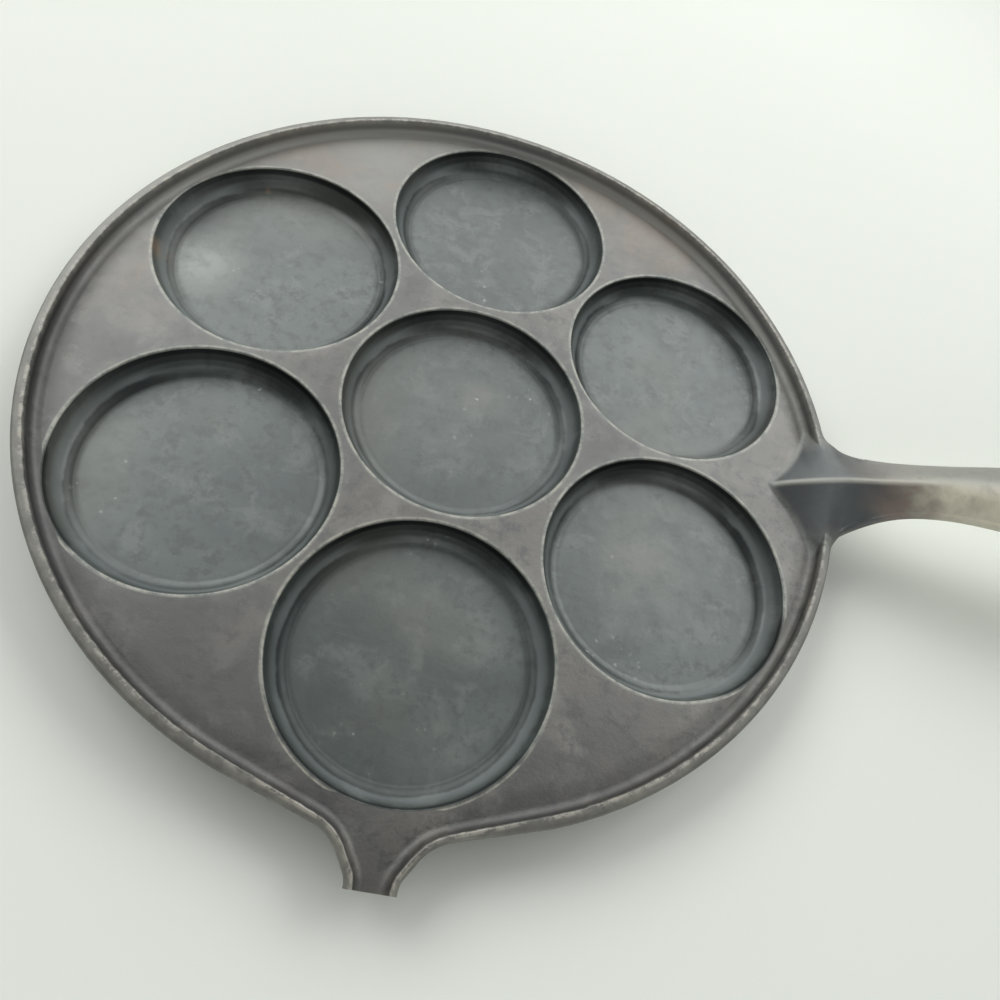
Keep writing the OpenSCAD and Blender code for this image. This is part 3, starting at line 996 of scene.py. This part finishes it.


# %% [markdown]
# ## The wells
# A well is smoother and bluer than the deck, because batter and fat have built up a glassy
# coat. Its floor has soft clouds, faint scratches and a few pale specks. A dark line runs round
# the floor. A paler streak lies in the hollow corner. Painted shade lies over the hollow corner
# and under the lip, heaviest on the far side, where it makes the far wall almost black under the
# lip; the dark line and this painted shade are weaker in a few listed places. The lip is worn to
# a thin bright line, with a thin line of painted shade just inside it along the pan's near edge.

# %% Make the finish of a well
STREAK_IN = 2.4
LINE_IN, LINE_OUT = (7.4, 5.8), (3.0, 4.2)
# Painted shade over the hollow corner, from these distances inside the lip
FILLET_SHADE_IN, FILLET_SHADE_OUT = (6.0, 5.2), (2.9, 3.7)
# Places where the dark line and the painted shade are weaker
FAINT_PLACES = [(-28.0, -39.0, 30), (34.0, -50.0, 34), (41.0, -12.0, 22), (-41.0, -12.0, 22)]
FAINT_PLACES.append((-62.0, 68.0, 36))
SHADY_PLACES = [(0.0, -116.0, 54), (-104.0, -62.0, 24), (100.0, -62.0, 26)]
SPECK_PLACES = {"well_iron_5": (-2.0, -106.0, 26), "well_iron_4": (-92.0, -50.0, 18)}


def band(inner, lip_r, start, end, outer):
    """1 between two distances inside the lip; each is where the step begins and ends."""
    low = inner.limit((lip_r - start[0]) * MM, (lip_r - start[1]) * MM)
    return low * outer.limit((lip_r - end[0]) * MM, (lip_r - end[1]) * MM)


def make_well_iron(name, x, y, lip_r, seed, marks):
    made = start_material(name)
    place = made[2]
    local = moved(place, (seed * 1.7, -seed * 0.9, seed * 0.31))
    reach = distance_from(place, x, y)
    height = axis(place, 2)
    away = axis(place, 1) - y * MM
    broad = cloud(local, 20.0, 4.0, 0.55, 0.8)
    middle = cloud(moved(local, (5, 3, 0)), 75.0, 5.0, 0.62, 0.5)
    fine = cloud(moved(local, (2, 1, 0)), 240.0, 5.0, 0.7)
    colour = blend_colours(place, broad.limit(0.34, 0.70), SLATE, SLATE_LIGHT)
    colour = colour.mix(SLATE_PALE, middle.limit(0.49, 0.66) * 0.6)
    colour = colour.mix(SLATE_DARK, fine.limit(0.47, 0.66) * 0.75)
    warm = cloud(moved(local, (0, 0, 4)), 14.0, 3.0, 0.5).limit(0.50, 0.66)
    colour = colour.mix(WARM_GREY, warm * 0.5)
    across_way = cloud(stretched(local, (1.0, 14.0, 1.0)), 70.0, 2.0, 0.5).limit(0.64, 0.74)
    other_way = stretched(moved(local, (3, 3, 3)), (16.0, 1.2, 1.0))
    along_way = cloud(other_way, 60.0, 2.0, 0.5).limit(0.64, 0.74)
    colour = colour.mix(SLATE_PALE, strongest([across_way, along_way]) * 0.14)
    inside = height.limit(1.6 * MM, 2.9 * MM)
    for mark_x, mark_y, width, paint, share in marks:
        edge = cloud(moved(local, (8, 2, 0)), 90.0, 5.0, 0.65).limit(0.25, 0.62)
        colour = colour.mix(paint, spot(place, mark_x, mark_y, width) * edge * share * inside)
    few = cloud(moved(local, (7, 7, 7)), 42.0, 3.0, 0.6).limit(0.56, 0.68)
    if name in SPECK_PLACES:
        few = strongest([few, spot(place, *SPECK_PLACES[name])])
    ragged = cells(shaken(local, 500.0, 0.0022), 260.0)
    colour = colour.mix(SPECK, ragged.limit(0.20, 0.08) * few * middle.limit(0.45, 0.60) * 0.8)
    far = away.limit(0.20 * lip_r * MM, 0.90 * lip_r * MM)
    near = away.limit(-0.25 * lip_r * MM, -0.85 * lip_r * MM)
    top = away.limit(0.60 * lip_r * MM, 0.84 * lip_r * MM)
    streak = reach.peak((lip_r - STREAK_IN) * MM, 1.5 * MM) * (0.55 + 0.45 * broad.limit(0.36, 0.60))
    colour = colour.mix(STREAK_BLUE, streak * (1 - top) * inside * 0.9)
    worn = cloud(moved(place, (9, 0, 0)), 230.0, 4.0, 0.7)
    on_lip = height.limit((deck_z - 0.9) * MM, (deck_z - 0.25) * MM)
    outside = reach.limit((lip_r + 0.40) * MM, (lip_r + 0.75) * MM)
    colour = colour.mix(deck_colour(place), outside)
    shady = strongest([spot(place, *one).limit(0.0, 0.4) for one in SHADY_PLACES])
    lip = (reach - 0.45 * MM * shady).peak((lip_r + 0.35) * MM, 0.85 * MM) * on_lip
    colour = colour.mix(WORN, lip * (0.10 + 0.75 * worn.limit(0.32, 0.66)))
    wavy = reach + 1.8 * MM * (middle - 0.5) + 2.0 * MM * (broad - 0.5)
    line = band(wavy, lip_r, LINE_IN, LINE_OUT, wavy)
    fillet_shade = band(reach, lip_r, FILLET_SHADE_IN, FILLET_SHADE_OUT, wavy)
    far_corner = height.limit((WELL_FLOOR_T + 0.3) * MM, (WELL_FLOOR_T + 1.2) * MM) * top
    under_lip = height.limit((deck_z - 3.6) * MM, (deck_z - 1.6) * MM)
    deep = height.limit((deck_z - 5.2) * MM, (deck_z - 3.2) * MM) * far
    dark_kept = 1 - 0.85 * strongest([spot(place, *one) for one in FAINT_PLACES])
    near_fade = 1 - (0.2 if name == "well_iron_5" else 0.7) * near
    thin = reach.peak((lip_r - 0.1) * MM, 1.1 * MM)
    # Apart from the dark line, these darkenings are painted shade: over the hollow corner, on the far
    # wall, in the far corner, under the lip and just inside the lip on the near side
    grime_and_shade = strongest([
        line * (0.26 + 0.24 * middle) * (1 - 0.8 * near) * (1 - 0.8 * top) * dark_kept,
        fillet_shade * (0.64 - 0.40 * top) * near_fade * dark_kept,
        deep * (0.35 + 0.40 * dark_kept),
        far_corner * (0.34 + 0.2 * broad),
        under_lip * (0.08 + 0.22 * (1 - near) + 0.60 * far),
    ]) * (1 - on_lip)
    grime_and_shade = strongest([grime_and_shade, thin * shady * 0.75]) * inside
    rough = 0.34 + 0.16 * fine + 0.14 * middle
    return finish_iron(made, colour, rough, iron_relief(place), 0.3, grime_and_shade, COOL_TINT)


# %% [markdown]
# ## The rim and the beak
# The rim's outer band is a dull olive grey, with painted light towards the far left. Its inner
# top edge has lost the coat and glitters in flecks, with a thin line of painted shade just
# inside it. The inner wall is deck iron; painted shade darkens its hollow corner on the near
# side, and a painted sheen makes it paler along the far edge, where it faces the viewer.

# %% Make the finish of the rim
def rim_colour(place):
    """Colour of the rim with its painted light and sheen, and its grime and painted shade."""
    out = place.node("ShaderNodeAttribute", {"attribute_name": "from_edge"}, out=2)
    height = axis(place, 2)
    flecks = cloud(place, 300.0, 5.0, 0.75)
    patchy = cloud(place, 34.0, 4.0, 0.6).limit(0.3, 0.65)
    top = height.limit((deck_z + rim_h - 1.9) * MM, (deck_z + rim_h - 0.8) * MM)
    outer = blend_colours(place, cloud(place, 110.0, 5.0, 0.7).limit(0.35, 0.66), OLIVE, OLIVE_DARK)
    outer = outer.mix(OLIVE_DARK, height.limit(deck_z * MM, (deck_z - 4.0) * MM) * 0.8)
    # Painted light on the outer band towards the far left
    outer = outer.mix(OLIVE_PALE, spot(place, *RIM_PAINTED_LIGHT) * (0.45 + 0.4 * flecks))
    raised = height.limit((deck_z + 1) * MM, (deck_z + 2) * MM)
    colour = deck_colour(place).mix(outer, out.limit(-0.1, 0.4) * raised)
    below = out.limit(0.3, 0.6) * height.limit((deck_z + 2) * MM, (deck_z + 1) * MM)
    colour = colour.mix(outer, below)
    far = far_share(place)
    # Painted sheen on the far inner wall
    colour = colour.mix(SHEEN, far * out.limit(-3.2, -2.4) * out.limit(0.3, -1.0) * 0.6)
    bright = out.peak(0.45, 0.95) * top
    worn = flecks.limit(0.44, 0.57) * (0.30 + 0.55 * patchy + 0.2 * far)
    colour = colour.mix(WORN, bright * worn)
    # Painted shade: a thin line down the inner wall and the hollow corner on the near side
    inner_wall = out.limit(0.05, -0.35) * height.limit((deck_z + 1.2) * MM, (deck_z + 2.8) * MM)
    hollow = out.limit(-5.0, -2.6) * out.limit(0.0, -0.6) * (0.06 + 0.32 * patchy) * (1 - far)
    corner = deck_grime_and_shade(place) * out.limit(-0.2, -1.0)
    return colour, strongest([inner_wall * (0.55 - 0.25 * far), hollow, corner])


def make_rim_iron():
    made = start_material("rim_iron")
    place = made[2]
    colour, grime_and_shade = rim_colour(place)
    rough = 0.45 + 0.22 * cloud(place, 120.0, 4.0)
    height = iron_relief(place) + 1.2 * cloud(place, 240.0, 4.0, 0.7)
    return finish_iron(made, colour, rough, height, 0.6, grime_and_shade, WARM_TINT)


# %% [markdown]
# ## The handle
# The root is a dark blue grey. The ridge is polished by hands and cloths. The grip has a
# tan bloom, which starts in brown patches on the neck, and its far side is duller.

# %% Make the finish of the handle
GRIP_TAN = (0.64, 0.60, 0.46, 1)
GRIP_OLIVE = (0.52, 0.475, 0.355, 1)
GRIP_SHADY = (0.19, 0.181, 0.144, 1)
GRIP_BROWN = (0.155, 0.095, 0.068, 1)
ROOT_DARK = (0.010, 0.011, 0.011, 1)
ROOT_GREY = (0.036, 0.040, 0.042, 1)


def make_handle_iron(name, meets_rim):
    made = start_material(name)
    place = made[2]
    along = axis(place, 0)
    side = axis(place, 1)
    sideways = place.maths("ABSOLUTE", side)
    broad = cloud(place, 26.0, 4.0, 0.6, 0.6)
    fine = cloud(moved(place, (0, 3, 0)), 190.0, 5.0, 0.7)
    dark = blend_colours(place, broad.limit(0.35, 0.7), ROOT_DARK, ROOT_GREY)
    far_side = side.limit(-1.0 * MM, 1.0 * MM)
    ahead = along + 0.020 * (broad - 0.5) + 0.007 * far_side
    bloom = ahead.limit((rim_out_r + 10) * MM, (rim_out_r + 27) * MM)
    pale = blend_colours(place, cloud(place, 60.0, 5.0, 0.65).limit(0.42, 0.62), GRIP_TAN, GRIP_OLIVE)
    pale = pale.mix(GRIP_SHADY, side.limit(-3.0 * MM, 4.0 * MM))
    colour = dark.mix(pale, bloom * 0.95)
    colour = colour.mix(ROOT_DARK, fine.limit(0.50, 0.72) * 0.24)
    patches = cloud(moved(place, (4, 4, 0)), 60.0, 4.0, 0.6).limit(0.36, 0.54)
    brown = patches * ahead.peak((rim_out_r + 18) * MM, 12 * MM) * (1 - 0.6 * far_side)
    colour = colour.mix(GRIP_BROWN, brown * 0.85)
    ridge = along.limit((rim_out_r + 30) * MM, (rim_out_r + 16) * MM)
    ridge = ridge * sideways.limit(1.5 * MM, 0.4 * MM)
    colour = colour.mix(WORN, ridge * (0.5 + 0.5 * fine) * 0.7)
    grime_and_shade = (1 - bloom) * (1 - ridge) * (0.12 + 0.02 * far_side)
    # Next to the rim the root takes the rim's colour, with its painted light and sheen, and the rim's
    # grime and painted shade
    if meets_rim:
        rim_paint, rim_grime_and_shade = rim_colour(place)
        beside = sideways.limit(13 * MM, 20 * MM)
        colour = colour.mix(rim_paint, beside)
        lifted = axis(place, 2).limit((deck_z + 0.05) * MM, (deck_z + 1.6) * MM)
        colour = deck_colour(place).mix(colour, lifted)
        grime_and_shade = grime_and_shade * (1 - beside) * lifted + rim_grime_and_shade * sideways.limit(15 * MM, 24 * MM)
    rough = 0.42 + 0.2 * fine
    return finish_iron(made, colour, rough, iron_relief(place), 0.4, grime_and_shade, COOL_TINT)


# %% [markdown]
# ## Dress the casting
# Each skin takes the finish of its place. The wells differ a little from one another, so
# each has its own seed and its own marks: x, y, width, colour and share.

# %% Assign the finishes
def dress(piece, material):
    piece.data.materials.clear()
    piece.data.materials.append(material)
    print("dressed", piece.name, "with", material.name)


dress(deck, make_deck_iron())
rim_finish = make_rim_iron()
for piece in (*rims, beak):
    dress(piece, rim_finish)
dress(root, make_handle_iron("root_iron", True))
handle_finish = make_handle_iron("grip_iron", False)
dress(neck, handle_finish)
dress(grip, handle_finish)
WELL_MARKS = {
    0: [(-2.0, -1.0, 34, SLATE_PALE, 0.6), (4.7, 8.8, 12, WARM_PALE, 0.8)],
    1: [(65.7, 39.9, 16, WARM_GREY, 0.7)],
    # Well 3's first mark is a painted sheen on its floor
    3: [(-92.5, 34.0, 19, SHEEN, 1.0), (-81.8, 71.2, 1.6, TAN, 1.0), (-105.5, 30.3, 6, TAN, 1.0)],
    4: [(-93.8, -35.4, 14, SLATE_PALE, 0.5), (-89.9, -59.8, 12, SLATE_PALE, 0.4)],
    5: [(2.0, -68.0, 26, WARM_PALE, 0.5), (10.3, -105.9, 16, SLATE_PALE, 0.45),
        (-20.9, -94.2, 18, SLATE_DARK, 0.8)],
    6: [(66.0, -40.0, 34, SLATE_PALE, 0.6), (62.8, -34.2, 20, WARM_PALE, 0.8)],
}
for i, piece in enumerate(wells):
    marks = WELL_MARKS.get(i, [])
    dress(piece, make_well_iron(f"well_iron_{i}", *well_spots[i], well_sizes[i], i + 0.5, marks))

# %% [markdown]
# ## Floor and light
# The pan rests on a pale floor. The main light is a row of large soft lamps beyond the far
# edge, so the far walls of the wells stay dark and the deck's sheen fades towards the near
# side. One lamp would do the same with a harder shadow. A weak lamp on the near side draws
# a light band round the hollow corners. Right under the lamps a pale floor would turn plain
# white, so its paint darkens there, out of the picture.

# %% Make the floor
FLOOR_SIZE = 2.4
FLOOR_PAINTS = (0.855, 0.892, 0.825, 1), (0.875, 0.910, 0.845, 1)
UNDER_LAMPS = (0.46, 0.48, 0.445, 1)


def make_floor():
    data = bpy.data.meshes.new("floor")
    half = FLOOR_SIZE / 2
    corners = [(-half, -half, 0), (half, -half, 0), (half, half, 0), (-half, half, 0)]
    data.from_pydata(corners, [], [(0, 1, 2, 3)])
    floor = bpy.data.objects.new("floor", data)
    bpy.context.scene.collection.objects.link(floor)
    material, tree, place = start_material("floor_paint")
    tone = cloud(place, 2.0, 2.0).limit(0.3, 0.7)
    colour = blend_colours(place, tone, *FLOOR_PAINTS)
    beyond = distance_from(place, 0, 0).limit(0.30, 0.85) * axis(place, 1).limit(-0.10, 0.40)
    colour = colour.mix(UNDER_LAMPS, beyond)
    shader = tree.nodes.new("ShaderNodeBsdfPrincipled")
    tree.links.new(colour.socket, shader.inputs["Base Color"])
    shader.inputs["Roughness"].default_value = 0.9
    shader.inputs["Specular IOR Level"].default_value = 0.0
    out = tree.nodes.new("ShaderNodeOutputMaterial")
    tree.links.new(shader.outputs[0], out.inputs[0])
    data.materials.append(material)


make_floor()

# %% Set the lamps and the sky
def add_lamp(name, at, size, watts, colour=(1, 1, 1)):
    data = bpy.data.lights.new(name, "AREA")
    data.shape = "DISK"
    data.size = size
    data.energy = watts
    data.color = colour
    lamp = bpy.data.objects.new(name, data)
    lamp.location = at
    lamp.rotation_euler = (-Vector(at)).to_track_quat("-Z", "Y").to_euler()
    bpy.context.scene.collection.objects.link(lamp)
    print("lamp", name, watts, "W")


LAMP_REACH, LAMP_SIZE = 1.5, 0.9
LAMPS = {
    "far_left": (-60, 42, 6.4),
    "left": (-30, 42, 5.0),
    "right": (30, 42, 5.2),
    "far_right": (60, 42, 5.0),
    "low": (0, 22, 4.3),
    "near_low": (172, 28, 3.4),
}
for name, (turn_deg, rise_deg, watts) in LAMPS.items():
    level = LAMP_REACH * cos_d(rise_deg)
    at = (level * sin_d(turn_deg), level * cos_d(turn_deg), LAMP_REACH * sin_d(rise_deg))
    add_lamp(name, at, LAMP_SIZE, watts)

SKY_COLOUR = (1, 1, 1, 1)
OVERHEAD, HORIZON = 0.15, 0.50


PALE_SKY = (0.74, 0.77, 0.715, 1)


def make_sky():
    """A dim ceiling over brighter walls, as in a room; the camera itself sees a pale wall."""
    world = bpy.data.worlds.new("world")
    bpy.context.scene.world = world
    world.use_nodes = True
    tree = world.node_tree
    tree.nodes.clear()
    height = axis(Flow(tree, None).node("ShaderNodeTexCoord"), 2)

    def background(colour, strength):
        return height.node("ShaderNodeBackground", {}, {"Color": colour, "Strength": strength})

    low, high = background(SKY_COLOUR, HORIZON), background(SKY_COLOUR, OVERHEAD)
    both = height.node("ShaderNodeMixShader", {}, {0: height.limit(0.0, 0.55), 1: low, 2: high})
    seen = height.node("ShaderNodeLightPath")
    pale = background(PALE_SKY, 1.0)
    shown = height.node("ShaderNodeMixShader", {}, {0: seen, 1: both, 2: pale})
    tree.links.new(shown.socket, tree.nodes.new("ShaderNodeOutputWorld").inputs[0])


make_sky()
bpy.context.scene.view_settings.view_transform = "Standard"
